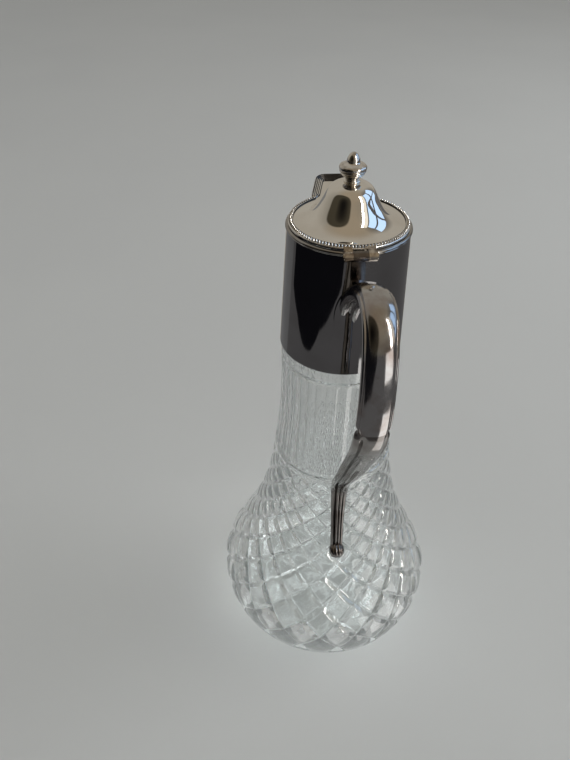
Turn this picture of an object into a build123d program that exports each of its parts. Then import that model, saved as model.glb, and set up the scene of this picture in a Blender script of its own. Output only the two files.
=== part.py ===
from build123d import *
import math
import os

# Claret jug: a cut-glass body with a soldered silver-plate mount, hinged lid and handle.
# Millimetres. Z is up and is the jug's axis, the foot rests on Z = 0, the spout points
# to +X and the handle to -X. Heights named _Z are above the foot.

# Glass body
BULB_RADIUS = 62.7
FOOT_INSET = 18.7  # from the bulb's widest circle in to the edge of the foot
BULB_Z = 34.0
NECK_RADIUS = 27.2
NECK_Z = 190.0  # the shoulder curve ends here and the neck runs straight
BULB_WALL = 5.5
NECK_WALL = 4.6
MOUTH_WALL = 3.3
FLOOR_THICKNESS = 11.0
FLOOR_CORNER = 14.0
HEEL_ROUND = 2.5
# The shoulder curve between bulb and neck: shares of the rise, and of the narrowing left to go
SHOULDER_CURVE = [(0.077, 0.901), (0.256, 0.530), (0.429, 0.273), (0.622, 0.113), (0.808, 0.025)]

# Collar, plastered on to the neck
COLLAR_FOOT_Z = 204.0
COLLAR_HEIGHT = 55.6
COLLAR_OVERHANG = 0.7  # how far the collar's foot stands out past the neck
COLLAR_NARROWING = 2.5  # the radius lost from foot to top
COLLAR_WALL = 0.8
CEMENT_GAP = 1.2
GLASS_IN_COLLAR = 22.0
MOUTH_RING_THICKNESS = 1.2
RIM_HEIGHT = 1.8
RIM_PROUD = 0.5
RIM_INSET = 0.2

# Spout: a lip with a squared tip, which narrows down to a point on the collar's front
SPOUT_REACH = 10.6  # past the collar's top
SPOUT_ROOT_HALF = 12.4
SPOUT_TIP_HALF = 8.6
SPOUT_CORNER = 3.6
SPOUT_DROP = 32.4
SPOUT_FOOT_HALF = 2.6
SPOUT_FOOT_STAND = 0.8
SPOUT_WALL = 1.0
LIP_RISE = 11.0  # degrees that the lip and the lid's tongue rise by, outwards
LIP_START_INSET = 5.0  # the rise starts this far inside the collar's top radius

# Lid
LID_GAP = 0.3
LID_WALL = 0.9
LID_INSET = 0.6  # the lid's edge, in from the collar's top radius
DOME_HEIGHT = 15.9
DOME_TOP_RADIUS = 4.4
DOME_THIN = 0.7  # how far the dome's inner curve is set in
# The dome's ogee: shares of the flange's radius, and of the dome's height
DOME_CURVE = [
    (0.80, 0.08),
    (0.65, 0.21),
    (0.55, 0.45),
    (0.465, 0.66),
    (0.43, 0.82),
    (0.375, 0.94),
    (0.28, 0.985),
]
FLANGE_RADIUS_INSET = 2.3  # the dome's curve starts this far inside the lid's edge
TONGUE_OVERHANG = 0.9
BEAD_WIDTH = 2.2
BEAD_HEIGHT = 1.9

# Finial, with the stud, washer and nut that hold it
STUD_RADIUS = 1.5
STUD_CLEARANCE = 0.1
FINIAL_BASE_RADIUS = 3.4
FINIAL_BASE_HEIGHT = 1.7
FINIAL_FOOT_RADIUS = 3.0
FINIAL_WAIST_RADIUS = 2.7
FINIAL_WAIST_RISE = 0.4  # each rise is from the finial's own foot
FINIAL_BOWL_RADIUS = 3.6
FINIAL_BOWL_RISE = 0.9
FINIAL_BELLY_RADIUS = 5.4
FINIAL_BELLY_RISE = 4.1
FINIAL_NECK_RADIUS = 2.6
FINIAL_SHOULDER_RISE = 5.9
FINIAL_HEIGHT = 9.7
STUD_GRIP = 4.0  # length of stud inside the finial
WASHER_RADIUS = 3.2
WASHER_THICKNESS = 0.6
NUT_ACROSS_FLATS = 5.5
NUT_HEIGHT = 2.2
STUD_TAIL = 0.8

# Hinge
KNUCKLE_RADIUS = 2.0
HINGE_STAND_OFF = 2.8  # from the rim moulding to the pin's axis
HINGE_RISE = 0.2  # the pin's axis above the rim's top
CENTRE_KNUCKLE = 5.6
OUTER_KNUCKLE = 3.2
KNUCKLE_GAP = 0.12
PIN_RADIUS = 0.9
PIN_CLEARANCE = 0.05
PIN_HEAD_RADIUS = 1.3
PIN_HEAD = 0.5
LEAF_DROP = 10.9
LEAF_STAND = 1.2
LUG_THICKNESS = 1.7
LUG_RAISE = 0.25  # the strap's underside, above the lid's
LUG_HOLD = 1.1  # how far in over the lid's edge a lug is soldered

# Handle
PLATE_DROP = 26.6  # from the collar's top down to the mount plate's middle
PLATE_HALF_WIDTH = 8.0
PLATE_HALF_HEIGHT = 14.0
PLATE_THICKNESS = 1.4
HANDLE_ROOT_DEPTH = 3.0
HANDLE_ROOT_DROP = 7.5
HANDLE_STAND = 49.5  # from the collar out to the handle's line at its furthest
# The handle's line: how far out as a share of the stand, and height against the plate's middle
HANDLE_ARCH = [(0.31, 21.0), (0.807, 27.6), (0.989, 6.3), (0.975, -21.0), (0.716, -46.4)]
# The tail: height as a share of the plate's height, and the line's distance from the glass
HANDLE_TAIL = [(0.697, 21.4), (0.607, 7.7), (0.518, 5.4), (0.428, 5.4)]
TAIL_SET_OVER = 1.5  # the tail is bent over to +Y by this much
HANDLE_STEP = 0.444  # share of the line where the two castings meet
# Sections of each casting: share of its length, width and thickness
UPPER_SECTIONS = [(0.0, 12.6, 9.0), (0.27, 12.3, 8.0), (0.66, 12.4, 7.6), (1.0, 13.1, 7.0)]
LOWER_SECTIONS = [
    (0.0, 13.2, 6.4),
    (0.17, 13.6, 6.4),
    (0.36, 12.3, 6.0),
    (0.54, 10.2, 5.6),
    (0.72, 7.9, 5.2),
    (0.82, 6.9, 5.0),
    (1.0, 6.2, 4.8),
]
SECTIONS_PER_CASTING = 11
SCROLL_RADIUS = 4.0
SCROLL_WIDTH = 7.5
SCROLL_ROUND = 1.2
SCROLL_SET_OUT = 1.0

CUT_THROUGH = 30.0  # longer than anything that a hole or a trim goes through

# Worked out from the sizes above
FOOT_RADIUS = BULB_RADIUS - FOOT_INSET
COLLAR_TOP_Z = COLLAR_FOOT_Z + COLLAR_HEIGHT
RIM_TOP_Z = COLLAR_TOP_Z + RIM_HEIGHT
MOUTH_Z = COLLAR_FOOT_Z + GLASS_IN_COLLAR
LID_Z = RIM_TOP_Z + LID_GAP
FLANGE_Z = LID_Z + LID_WALL
DOME_TOP_Z = FLANGE_Z + DOME_HEIGHT
PLATE_Z = COLLAR_TOP_Z - PLATE_DROP


def collar_outer(z):
    foot_radius = NECK_RADIUS + COLLAR_OVERHANG
    return foot_radius - COLLAR_NARROWING * (z - COLLAR_FOOT_Z) / COLLAR_HEIGHT


def collar_inner(z):
    return collar_outer(z) - COLLAR_WALL


COLLAR_TOP_RADIUS = collar_outer(COLLAR_TOP_Z)
RIM_RADIUS = COLLAR_TOP_RADIUS + RIM_PROUD
LID_RADIUS = COLLAR_TOP_RADIUS - LID_INSET
FLANGE_RADIUS = LID_RADIUS - FLANGE_RADIUS_INSET
BEAD_INNER_RADIUS = LID_RADIUS - BEAD_WIDTH
LIP_START_X = COLLAR_TOP_RADIUS - LIP_START_INSET
HINGE_X = -(RIM_RADIUS + HINGE_STAND_OFF)
HINGE_Z = RIM_TOP_Z + HINGE_RISE


def turned(outline):
    """A solid turned about the jug's axis from a closed outline of (radius, height)."""
    return revolve(Plane.XZ * make_face(outline), Axis.Z)


def cone_between(outer, inner, low, high):
    """A ring between two tapers, given as functions of height."""
    points = [(inner(low), low), (outer(low), low), (outer(high), high), (inner(high), high)]
    return turned(Polyline(*points, close=True))


def shoulder_points(bulb_radius, neck_radius):
    rise = NECK_Z - BULB_Z
    narrowing = bulb_radius - neck_radius
    return [(neck_radius + left * narrowing, BULB_Z + up * rise) for up, left in SHOULDER_CURVE]


def glass_radius(z):
    """The glass body's outer radius at a height between its bulb and its neck."""
    points = [(BULB_RADIUS, BULB_Z)] + shoulder_points(BULB_RADIUS, NECK_RADIUS) + [(NECK_RADIUS, NECK_Z)]
    for (r0, z0), (r1, z1) in zip(points, points[1:]):
        if z <= z1:
            return r0 + (r1 - r0) * (z - z0) / (z1 - z0)
    return NECK_RADIUS


def heel_arc(base_radius, base_z, bulb_radius):
    """The arc from a foot circle to the bulb's widest circle, upright where it ends."""
    width = bulb_radius - base_radius
    height = BULB_Z - base_z
    radius = (width**2 + height**2) / (2 * width)
    half_turn = math.asin(height / radius) / 2
    middle = (bulb_radius - radius * (1 - math.cos(half_turn)), BULB_Z - radius * math.sin(half_turn))
    return ThreePointArc((base_radius, base_z), middle, (bulb_radius, BULB_Z))


def shoulder(bulb_radius, neck_radius):
    points = [(bulb_radius, BULB_Z)] + shoulder_points(bulb_radius, neck_radius) + [(neck_radius, NECK_Z)]
    return Spline(*points, tangents=[(0, 1), (0, 1)])


def make_glass_body():
    collared_foot = collar_inner(COLLAR_FOOT_Z) - CEMENT_GAP
    collared_mouth = collar_inner(MOUTH_Z) - CEMENT_GAP
    inner_bulb = BULB_RADIUS - BULB_WALL
    inner_neck = NECK_RADIUS - NECK_WALL
    inner_base = inner_bulb - FLOOR_CORNER
    outside = [
        Line((0, 0), (FOOT_RADIUS, 0)),
        heel_arc(FOOT_RADIUS, 0, BULB_RADIUS),
        shoulder(BULB_RADIUS, NECK_RADIUS),
        Line((NECK_RADIUS, NECK_Z), (NECK_RADIUS, COLLAR_FOOT_Z)),
        Line((NECK_RADIUS, COLLAR_FOOT_Z), (collared_foot, COLLAR_FOOT_Z)),
        Line((collared_foot, COLLAR_FOOT_Z), (collared_mouth, MOUTH_Z)),
    ]
    inside = [
        Line((collared_mouth, MOUTH_Z), (collared_mouth - MOUTH_WALL, MOUTH_Z)),
        Line((collared_mouth - MOUTH_WALL, MOUTH_Z), (inner_neck, COLLAR_FOOT_Z)),
        Line((inner_neck, COLLAR_FOOT_Z), (inner_neck, NECK_Z)),
        shoulder(inner_bulb, inner_neck),
        heel_arc(inner_base, FLOOR_THICKNESS, inner_bulb),
        Line((inner_base, FLOOR_THICKNESS), (0, FLOOR_THICKNESS)),
        Line((0, FLOOR_THICKNESS), (0, 0)),
    ]
    body = turned(outside + inside)
    heel = body.edges().filter_by(GeomType.CIRCLE).sort_by(Axis.Z)[0]
    return fillet(heel, HEEL_ROUND)


def make_neck_cement():
    return cone_between(collar_inner, lambda z: collar_inner(z) - CEMENT_GAP, COLLAR_FOOT_Z, MOUTH_Z)


def make_mouth_ring():
    bore = collar_inner(MOUTH_Z) - CEMENT_GAP - MOUTH_WALL
    return cone_between(collar_inner, lambda z: bore, MOUTH_Z, MOUTH_Z + MOUTH_RING_THICKNESS)


def lip_plane(z_at_start):
    """The plane that the lip and the tongue rise in, with its X up the slope."""
    slope = math.radians(LIP_RISE)
    return Plane(
        origin=(LIP_START_X, 0, z_at_start),
        x_dir=(math.cos(slope), 0, math.sin(slope)),
        z_dir=(-math.sin(slope), 0, math.cos(slope)),
    )


def lip_outline(plane, length, root_half, tip_half, corner):
    """A tapered tab in a plane, with its two outer corners rounded."""
    points = [(0, -root_half), (length, -tip_half), (length, tip_half), (0, root_half)]
    tab = make_face(Polyline(*points, close=True))
    return plane * fillet(tab.vertices().group_by(Axis.X)[-1], corner)


def lip_length(margin):
    """The length up the slope to the spout's tip, and a margin past it."""
    return (COLLAR_TOP_RADIUS + SPOUT_REACH + margin - LIP_START_X) / math.cos(math.radians(LIP_RISE))


def spout_form(inset, top_z, foot_z):
    """The spout as a solid lump, with its walls drawn in by an inset."""
    top = lip_outline(
        lip_plane(top_z),
        lip_length(-inset),
        SPOUT_ROOT_HALF - inset,
        SPOUT_TIP_HALF - inset,
        SPOUT_CORNER - inset,
    )
    foot_reach = collar_outer(foot_z) + SPOUT_FOOT_STAND - inset - LIP_START_X
    foot_half = SPOUT_FOOT_HALF - inset
    foot = lip_outline(
        Plane.XY.offset(foot_z).shift_origin((LIP_START_X, 0, foot_z)),
        foot_reach,
        foot_half,
        foot_half,
        foot_half / 2,
    )
    return loft([foot, top], ruled=True)


def spout_outside():
    return spout_form(0, RIM_TOP_Z, RIM_TOP_Z - SPOUT_DROP)


def spout_inside():
    return spout_form(SPOUT_WALL, RIM_TOP_Z + SPOUT_WALL, RIM_TOP_Z - SPOUT_DROP + 2 * SPOUT_WALL)


def collar_plug(margin=0):
    """The collar, filled in and grown by a margin."""
    return cone_between(lambda z: collar_outer(z) + margin, lambda z: 0, COLLAR_FOOT_Z, COLLAR_TOP_Z)


def rim_plug():
    return cone_between(lambda z: RIM_RADIUS, lambda z: 0, COLLAR_TOP_Z, RIM_TOP_Z)


def make_collar():
    tube = cone_between(collar_outer, collar_inner, COLLAR_FOOT_Z, COLLAR_TOP_Z)
    return tube - spout_inside()


def make_collar_top_rim():
    inner = COLLAR_TOP_RADIUS - COLLAR_WALL - RIM_INSET
    half = RIM_HEIGHT / 2
    edge = RIM_RADIUS - half
    outline = [
        Line((inner, COLLAR_TOP_Z), (edge, COLLAR_TOP_Z)),
        ThreePointArc((edge, COLLAR_TOP_Z), (RIM_RADIUS, COLLAR_TOP_Z + half), (edge, RIM_TOP_Z)),
        Line((edge, RIM_TOP_Z), (inner, RIM_TOP_Z)),
        Line((inner, RIM_TOP_Z), (inner, COLLAR_TOP_Z)),
    ]
    return turned(outline) - spout_outside()


def make_spout():
    bore = cone_between(lambda z: COLLAR_TOP_RADIUS - COLLAR_WALL, lambda z: 0, COLLAR_FOOT_Z, DOME_TOP_Z)
    return spout_outside() - spout_inside() - collar_plug() - bore


def dome_points(set_in, drop):
    shares = [(1, 0)] + DOME_CURVE
    curve = [(out * FLANGE_RADIUS - set_in, FLANGE_Z + up * DOME_HEIGHT - drop) for out, up in shares]
    return curve + [(DOME_TOP_RADIUS - set_in, DOME_TOP_Z - drop)]


def make_lid():
    outer = dome_points(0, 0)
    inner = dome_points(DOME_THIN, LID_WALL)
    level = [(-1, 0), (-1, 0)]
    outline = [
        Line((0, DOME_TOP_Z - LID_WALL), (0, DOME_TOP_Z)),
        Line((0, DOME_TOP_Z), outer[-1]),
        Spline(*outer, tangents=level),
        Line(outer[0], (LID_RADIUS, FLANGE_Z)),
        Line((LID_RADIUS, FLANGE_Z), (LID_RADIUS, LID_Z)),
        Line((LID_RADIUS, LID_Z), inner[0]),
        Spline(*inner, tangents=level),
        Line(inner[-1], (0, DOME_TOP_Z - LID_WALL)),
    ]
    tongue = tongue_outline(0)
    under_tongue = extrude(tongue, amount=CUT_THROUGH, dir=(0, 0, -1))
    shell = turned(outline) - under_tongue + extrude(tongue, amount=LID_WALL)
    return shell - Pos(0, 0, DOME_TOP_Z) * Cylinder(STUD_RADIUS + STUD_CLEARANCE, CUT_THROUGH)


def tongue_outline(inset):
    return lip_outline(
        lip_plane(LID_Z),
        lip_length(TONGUE_OVERHANG - inset),
        SPOUT_ROOT_HALF + TONGUE_OVERHANG - inset,
        SPOUT_TIP_HALF + TONGUE_OVERHANG - inset,
        SPOUT_CORNER + TONGUE_OVERHANG - inset,
    )


def make_lid_bead_border(lid):
    inner_edge = (BEAD_INNER_RADIUS, FLANGE_Z)
    crown = (LID_RADIUS - BEAD_WIDTH / 2, FLANGE_Z + BEAD_HEIGHT)
    outer_edge = (LID_RADIUS, FLANGE_Z)
    outline = [Line(inner_edge, outer_edge), ThreePointArc(outer_edge, crown, inner_edge)]
    tongue = tongue_outline(0)
    over_tongue = extrude(tongue, amount=CUT_THROUGH)
    under_tongue = extrude(tongue, amount=CUT_THROUGH, dir=(0, 0, -1))
    ring = turned(outline) - over_tongue - under_tongue
    thickness = LID_WALL + BEAD_HEIGHT
    band = extrude(tongue, amount=thickness) - extrude(tongue_outline(BEAD_WIDTH), amount=thickness)
    band = split(band, bisect_by=lip_plane(LID_Z).offset(LID_WALL), keep=Keep.TOP)
    inside = Pos(0, 0, LID_Z) * Cylinder(BEAD_INNER_RADIUS, CUT_THROUGH)
    return ring + (band - inside) - lid


def make_finial_base():
    half = FINIAL_BASE_HEIGHT / 2
    top = DOME_TOP_Z + FINIAL_BASE_HEIGHT
    edge = FINIAL_BASE_RADIUS - half
    outline = [
        Line((STUD_RADIUS, DOME_TOP_Z), (edge, DOME_TOP_Z)),
        ThreePointArc((edge, DOME_TOP_Z), (FINIAL_BASE_RADIUS, DOME_TOP_Z + half), (edge, top)),
        Line((edge, top), (STUD_RADIUS, top)),
        Line((STUD_RADIUS, top), (STUD_RADIUS, DOME_TOP_Z)),
    ]
    return turned(outline)


def make_finial():
    foot_z = DOME_TOP_Z + FINIAL_BASE_HEIGHT
    foot = (FINIAL_FOOT_RADIUS, foot_z)
    waist = (FINIAL_WAIST_RADIUS, foot_z + FINIAL_WAIST_RISE)
    bowl = (FINIAL_BOWL_RADIUS, foot_z + FINIAL_BOWL_RISE)
    belly = (FINIAL_BELLY_RADIUS, foot_z + FINIAL_BELLY_RISE)
    shoulder_top = (FINIAL_NECK_RADIUS, foot_z + FINIAL_SHOULDER_RISE)
    tip = (0, foot_z + FINIAL_HEIGHT)
    grip_z = foot_z + STUD_GRIP
    outline = [
        Line((STUD_RADIUS, foot_z), foot),
        ThreePointArc(foot, waist, bowl),
        Spline(bowl, belly, tangents=[(1, 0.8), (0, 1)]),
        Spline(belly, shoulder_top, tangents=[(0, 1), (-1, 0.1)]),
        Spline(shoulder_top, tip, tangents=[(0, 1), (-1, 0)]),
        Line(tip, (0, grip_z)),
        Line((0, grip_z), (STUD_RADIUS, grip_z)),
        Line((STUD_RADIUS, grip_z), (STUD_RADIUS, foot_z)),
    ]
    return turned(outline)


def washer_top():
    return DOME_TOP_Z - LID_WALL


def make_finial_washer():
    ring = Cylinder(WASHER_RADIUS, WASHER_THICKNESS) - Cylinder(STUD_RADIUS, WASHER_THICKNESS)
    return Pos(0, 0, washer_top() - WASHER_THICKNESS / 2) * ring


def make_finial_nut():
    top = washer_top() - WASHER_THICKNESS
    hexagon = RegularPolygon(NUT_ACROSS_FLATS / 2, 6, major_radius=False)
    return Pos(0, 0, top - NUT_HEIGHT) * extrude(hexagon - Circle(STUD_RADIUS), amount=NUT_HEIGHT)


def make_finial_stud():
    low = washer_top() - WASHER_THICKNESS - NUT_HEIGHT - STUD_TAIL
    high = DOME_TOP_Z + FINIAL_BASE_HEIGHT + STUD_GRIP
    return Pos(0, 0, (low + high) / 2) * Cylinder(STUD_RADIUS, high - low)


def hinge_rod(radius, length, y_middle=0):
    """A round rod along the hinge axis."""
    return Pos(HINGE_X, y_middle, HINGE_Z) * Rot(90, 0, 0) * Cylinder(radius, length)


def outer_knuckle_middle():
    return CENTRE_KNUCKLE / 2 + KNUCKLE_GAP + OUTER_KNUCKLE / 2


def make_lid_hinge_lugs(lid, border):
    strap_end = -(LID_RADIUS - LUG_HOLD)
    strap_z = LID_Z + LUG_RAISE + LUG_THICKNESS / 2
    lugs = []
    for side in (-1, 1):
        middle = side * outer_knuckle_middle()
        strap = Box(strap_end - HINGE_X, OUTER_KNUCKLE, LUG_THICKNESS)
        strap = Pos((HINGE_X + strap_end) / 2, middle, strap_z) * strap
        lug = strap + hinge_rod(KNUCKLE_RADIUS, OUTER_KNUCKLE, middle) - lid - border
        lugs.append(lug - hinge_rod(PIN_RADIUS, CUT_THROUGH))
    return Compound(children=[solid for lug in lugs for solid in lug.solids()])


def make_collar_hinge_knuckle():
    leaf_out = RIM_RADIUS + LEAF_STAND
    leaf_top = HINGE_Z - KNUCKLE_RADIUS / 2
    leaf_low = RIM_TOP_Z - LEAF_DROP
    leaf = Box(leaf_out, CENTRE_KNUCKLE, leaf_top - leaf_low)
    leaf = Pos(-leaf_out / 2, 0, (leaf_top + leaf_low) / 2) * leaf
    knuckle = leaf - collar_plug() - rim_plug() + hinge_rod(KNUCKLE_RADIUS, CENTRE_KNUCKLE)
    return knuckle - hinge_rod(PIN_RADIUS + PIN_CLEARANCE, CUT_THROUGH)


def make_hinge_pin():
    reach = outer_knuckle_middle() + OUTER_KNUCKLE / 2
    pin = hinge_rod(PIN_RADIUS, 2 * reach)
    for side in (-1, 1):
        pin += hinge_rod(PIN_HEAD_RADIUS, PIN_HEAD, side * (reach + PIN_HEAD / 2))
    return pin


def make_handle_mount_plate():
    shield = Plane.YZ * Pos(0, PLATE_Z) * Ellipse(PLATE_HALF_WIDTH, PLATE_HALF_HEIGHT)
    column = extrude(shield, amount=-2 * NECK_RADIUS)
    skin = collar_plug(PLATE_THICKNESS) - collar_plug()
    return skin & column


def handle_line():
    """The handle's middle line, from inside the mount plate round to the scroll."""
    collar_radius = collar_outer(PLATE_Z)
    root = (-(collar_radius - HANDLE_ROOT_DEPTH), 0, PLATE_Z - HANDLE_ROOT_DROP)
    arch = [(-(collar_radius + out * HANDLE_STAND), 0, PLATE_Z + up) for out, up in HANDLE_ARCH]
    heights = [(up * PLATE_Z, clear) for up, clear in HANDLE_TAIL]
    tail = [(-(glass_radius(z) + clear), TAIL_SET_OVER, z) for z, clear in heights]
    return Spline(root, *arch, *tail)


def section_size(sections, share):
    """Width and thickness at a share of a casting's length."""
    for (s0, w0, t0), (s1, w1, t1) in zip(sections, sections[1:]):
        if share <= s1:
            mix = (share - s0) / (s1 - s0)
            return w0 + (w1 - w0) * mix, t0 + (t1 - t0) * mix
    return sections[-1][1:]


def handle_casting(start, end, sections):
    """A casting along the handle's line between two shares of it, with oval sections."""
    line = handle_line()
    faces = []
    for step in range(SECTIONS_PER_CASTING):
        along = step / (SECTIONS_PER_CASTING - 1)
        share = start + (end - start) * along
        width, thickness = section_size(sections, along)
        plane = Plane(origin=line @ share, x_dir=(0, 1, 0), z_dir=line % share)
        faces.append(plane * Ellipse(width / 2, thickness / 2))
    return loft(faces)


def make_handle_upper():
    return handle_casting(0, HANDLE_STEP, UPPER_SECTIONS) - collar_plug(PLATE_THICKNESS)


def make_handle_lower():
    end = handle_line() @ 1
    roll = Cylinder(SCROLL_RADIUS, SCROLL_WIDTH)
    roll = fillet(roll.edges().filter_by(GeomType.CIRCLE), SCROLL_ROUND)
    roll = Pos(end.X - SCROLL_SET_OUT, end.Y, end.Z) * Rot(90, 0, 0) * roll
    return handle_casting(HANDLE_STEP, 1, LOWER_SECTIONS) + roll


def main():
    lid = make_lid()
    border = make_lid_bead_border(lid)
    pieces = {
        "glass_body": make_glass_body(),
        "neck_cement": make_neck_cement(),
        "mouth_ring": make_mouth_ring(),
        "collar": make_collar(),
        "collar_top_rim": make_collar_top_rim(),
        "spout": make_spout(),
        "collar_hinge_knuckle": make_collar_hinge_knuckle(),
        "handle_mount_plate": make_handle_mount_plate(),
        "handle_upper": make_handle_upper(),
        "handle_lower": make_handle_lower(),
        "lid": lid,
        "lid_bead_border": border,
        "lid_hinge_lugs": make_lid_hinge_lugs(lid, border),
        "hinge_pin": make_hinge_pin(),
        "finial": make_finial(),
        "finial_base": make_finial_base(),
        "finial_stud": make_finial_stud(),
        "finial_washer": make_finial_washer(),
        "finial_nut": make_finial_nut(),
    }
    os.makedirs("parts", exist_ok=True)
    for name, piece in pieces.items():
        export_step(piece, f"parts/{name}.step")


main()
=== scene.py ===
import math

import bmesh
import bpy
import numpy as np
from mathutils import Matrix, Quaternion, Vector


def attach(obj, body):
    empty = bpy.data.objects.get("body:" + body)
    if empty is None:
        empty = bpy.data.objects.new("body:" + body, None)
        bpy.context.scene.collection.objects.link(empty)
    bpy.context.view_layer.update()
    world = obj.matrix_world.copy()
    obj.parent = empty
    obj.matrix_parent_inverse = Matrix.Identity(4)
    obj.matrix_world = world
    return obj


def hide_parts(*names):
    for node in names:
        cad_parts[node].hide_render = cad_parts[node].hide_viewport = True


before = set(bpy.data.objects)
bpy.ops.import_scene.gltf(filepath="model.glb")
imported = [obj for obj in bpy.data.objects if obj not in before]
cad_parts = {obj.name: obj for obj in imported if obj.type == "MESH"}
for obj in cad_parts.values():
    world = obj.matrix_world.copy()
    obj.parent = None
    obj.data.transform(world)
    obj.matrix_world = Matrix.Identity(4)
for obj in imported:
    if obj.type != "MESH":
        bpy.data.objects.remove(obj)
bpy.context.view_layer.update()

# Claret jug. Sizes are in millimetres, and new_mesh() turns them into metres.
MM = 0.001
FULL_TURN = 2 * math.pi

# Glass
BULB_RADIUS = 62.7
FOOT_RADIUS = 44.0
BULB_Z = 34.0
NECK_RADIUS = 27.2
NECK_Z = 190.0
BULB_WALL = 5.5
NECK_WALL = 4.6
MOUTH_WALL = 3.3
FLOOR_THICKNESS = 11.0
FLOOR_CORNER = 14.0
# The shoulder between bulb and neck: shares of the rise, and of the narrowing left to go
SHOULDER_CURVE = [(0.077, 0.901), (0.256, 0.530), (0.429, 0.273), (0.622, 0.113), (0.808, 0.025)]
GLASS_COLUMNS = 360
# The cuts between diamonds: angles in degrees, depths as shares of the radius
DIAMONDS_ROUND = 18
DIAMOND_ANGLE = 161.0
DIAMOND_RISE = 0.384
DIAMOND_TOP_CENTRE_Z = 129.7
DIAMOND_ROWS_PER_CELL = 20
DIAMOND_ROWS_ABOVE = 7
DIAMOND_LOW_Z = 19.0
DIAMOND_FADE = 6.0
DIAMOND_CUT = 0.019
DIAMOND_CUT_START = 0.7
DIAMOND_SWELL = 0.014
FLUTES_ROUND = 36
FLUTE_LOW_Z = 139.2
FLUTE_HIGH_Z = 196.8
FLUTE_DEPTH = 0.55
FLUTE_END = 1.1
# Distances from a flute's end to the rings near it
FLUTE_END_STEPS = [0.0, 0.4, 0.8, 1.2, 1.6, 2.0, 2.5, 3.1, 3.9, 5.0, 7.0, 10.0]
# Between them: how far from the upper and lower ends, and how far apart
FLUTE_MIDDLE = (14.0, 12.0)
FLUTE_STEP = 4.0
# Heights of the upper and lower turned grooves: edge, bottom and edge
RING_DEPTH = 0.5
UPPER_RING = (198.3, 197.7, 197.1)
LOWER_RING = (139.0, 138.4, 137.8)
RING_SHOULDERS = (200.0, 135.6)
# The last ring above the diamonds: how high over them, and how deep
LEAD_RISE = 0.7
LEAD_DEPTH = 0.35
# The hollow's domed floor, and the slow waves of a moulded inside
FLOOR_RINGS = (0.0, 16.0, 30.0)
FLOOR_DOME = 1.2
INSIDE_WAVES = [(0.10, 3, 9), (0.08, 5, -14)]  # depth, waves round, and height per radian
MOUTH_ROUND = 0.3
# Clearances of the glass from the plaster, the mouth ring and the collar's foot
PLASTER_GAP = 0.03
MOUTH_GAP = 0.02
LEDGE_GAP = 0.05
# The foot from its heel in to the middle: radius and height
HEEL_Z = 3.2
FOOT_OUTLINE = [
    (44.6, 1.6), (43.6, 0.7), (42.2, 0.15), (40.8, 0.0), (38.5, 0.0), (36.5, 0.5), (33.0, 1.1),
    (20.0, 1.6), (0.0, 1.8),
]

# Collar, rim and spout
COLLAR_FOOT_Z = 204.0
COLLAR_TOP_Z = 259.6
COLLAR_FOOT_RADIUS = 27.9
COLLAR_TOP_RADIUS = 25.4
COLLAR_WALL = 0.8
CEMENT_GAP = 1.2
MOUTH_Z = 226.0
RIM_TOP_Z = 261.4
SPOUT_REACH = 10.6
SPOUT_ROOT_HALF = 12.4
SPOUT_TIP_HALF = 8.6
SPOUT_CORNER = 3.6
LEAST_CORNER = 0.3
SPOUT_DROP = 32.4
SPOUT_FOOT_HALF = 2.6
SPOUT_FOOT_STAND = 0.8
SPOUT_WALL = 1.0
# The spout between its foot and its lip, and its tip at the foot as shares of the half width there
SPOUT_SWELL = 0.10
SPOUT_CURL = 1.25
FOOT_TIP_SHARE = 0.8
FOOT_CORNER_SHARE = 0.6
LIP_RISE = math.tan(math.radians(11.0))
LIP_START_X = 20.4

# Lid
LID_WALL = 0.9
LID_RADIUS = 24.8
FLANGE_Z = 262.6
DOME_TOP_Z = 278.5
TONGUE_OVERHANG = 0.9
STUD_HOLE = 1.6
BEAD_WIDTH = 2.2

# Handle
HANDLE_LINE = [
    (-23.55, 0.0, 225.5), (-41.9, 0.0, 254.0), (-66.5, 0.0, 260.6), (-75.5, 0.0, 239.3),
    (-74.8, 0.0, 212.0), (-62.0, 0.0, 186.6), (-49.4, 1.5, 162.4), (-37.8, 1.5, 141.4),
    (-38.6, 1.5, 120.7), (-42.7, 1.5, 99.7),
]
HANDLE_STEP = 0.444  # the share of the line where the lower part takes over
# Sections along each part: share of its length, width and thickness
UPPER_SECTIONS = [(0.0, 12.6, 9.0), (0.27, 12.3, 8.0), (0.66, 12.4, 7.6), (1.0, 13.2, 6.5)]
LOWER_SECTIONS = [
    (0.0, 13.2, 6.4), (0.17, 13.6, 6.4), (0.36, 12.3, 6.0), (0.54, 10.2, 5.6), (0.72, 7.9, 5.2),
    (0.82, 6.9, 5.0), (1.0, 6.2, 4.8),
]

# Camera, in metres and degrees
CAMERA_PLACE = (-0.22838, 0.04336, 0.37193)
CAMERA_HEADING = -4.453
CAMERA_PITCH = 40.071
CAMERA_ROLL = 0.363
CAMERA_LENS = 28.924
SENSOR = 36.0


# Curves

def end_slope(knots, points):
    """The slope at the first knot of the cubic through the first four points."""
    fit = np.polyfit(knots[:4] - knots[0], points[:4], 3)
    return fit[2]


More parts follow.
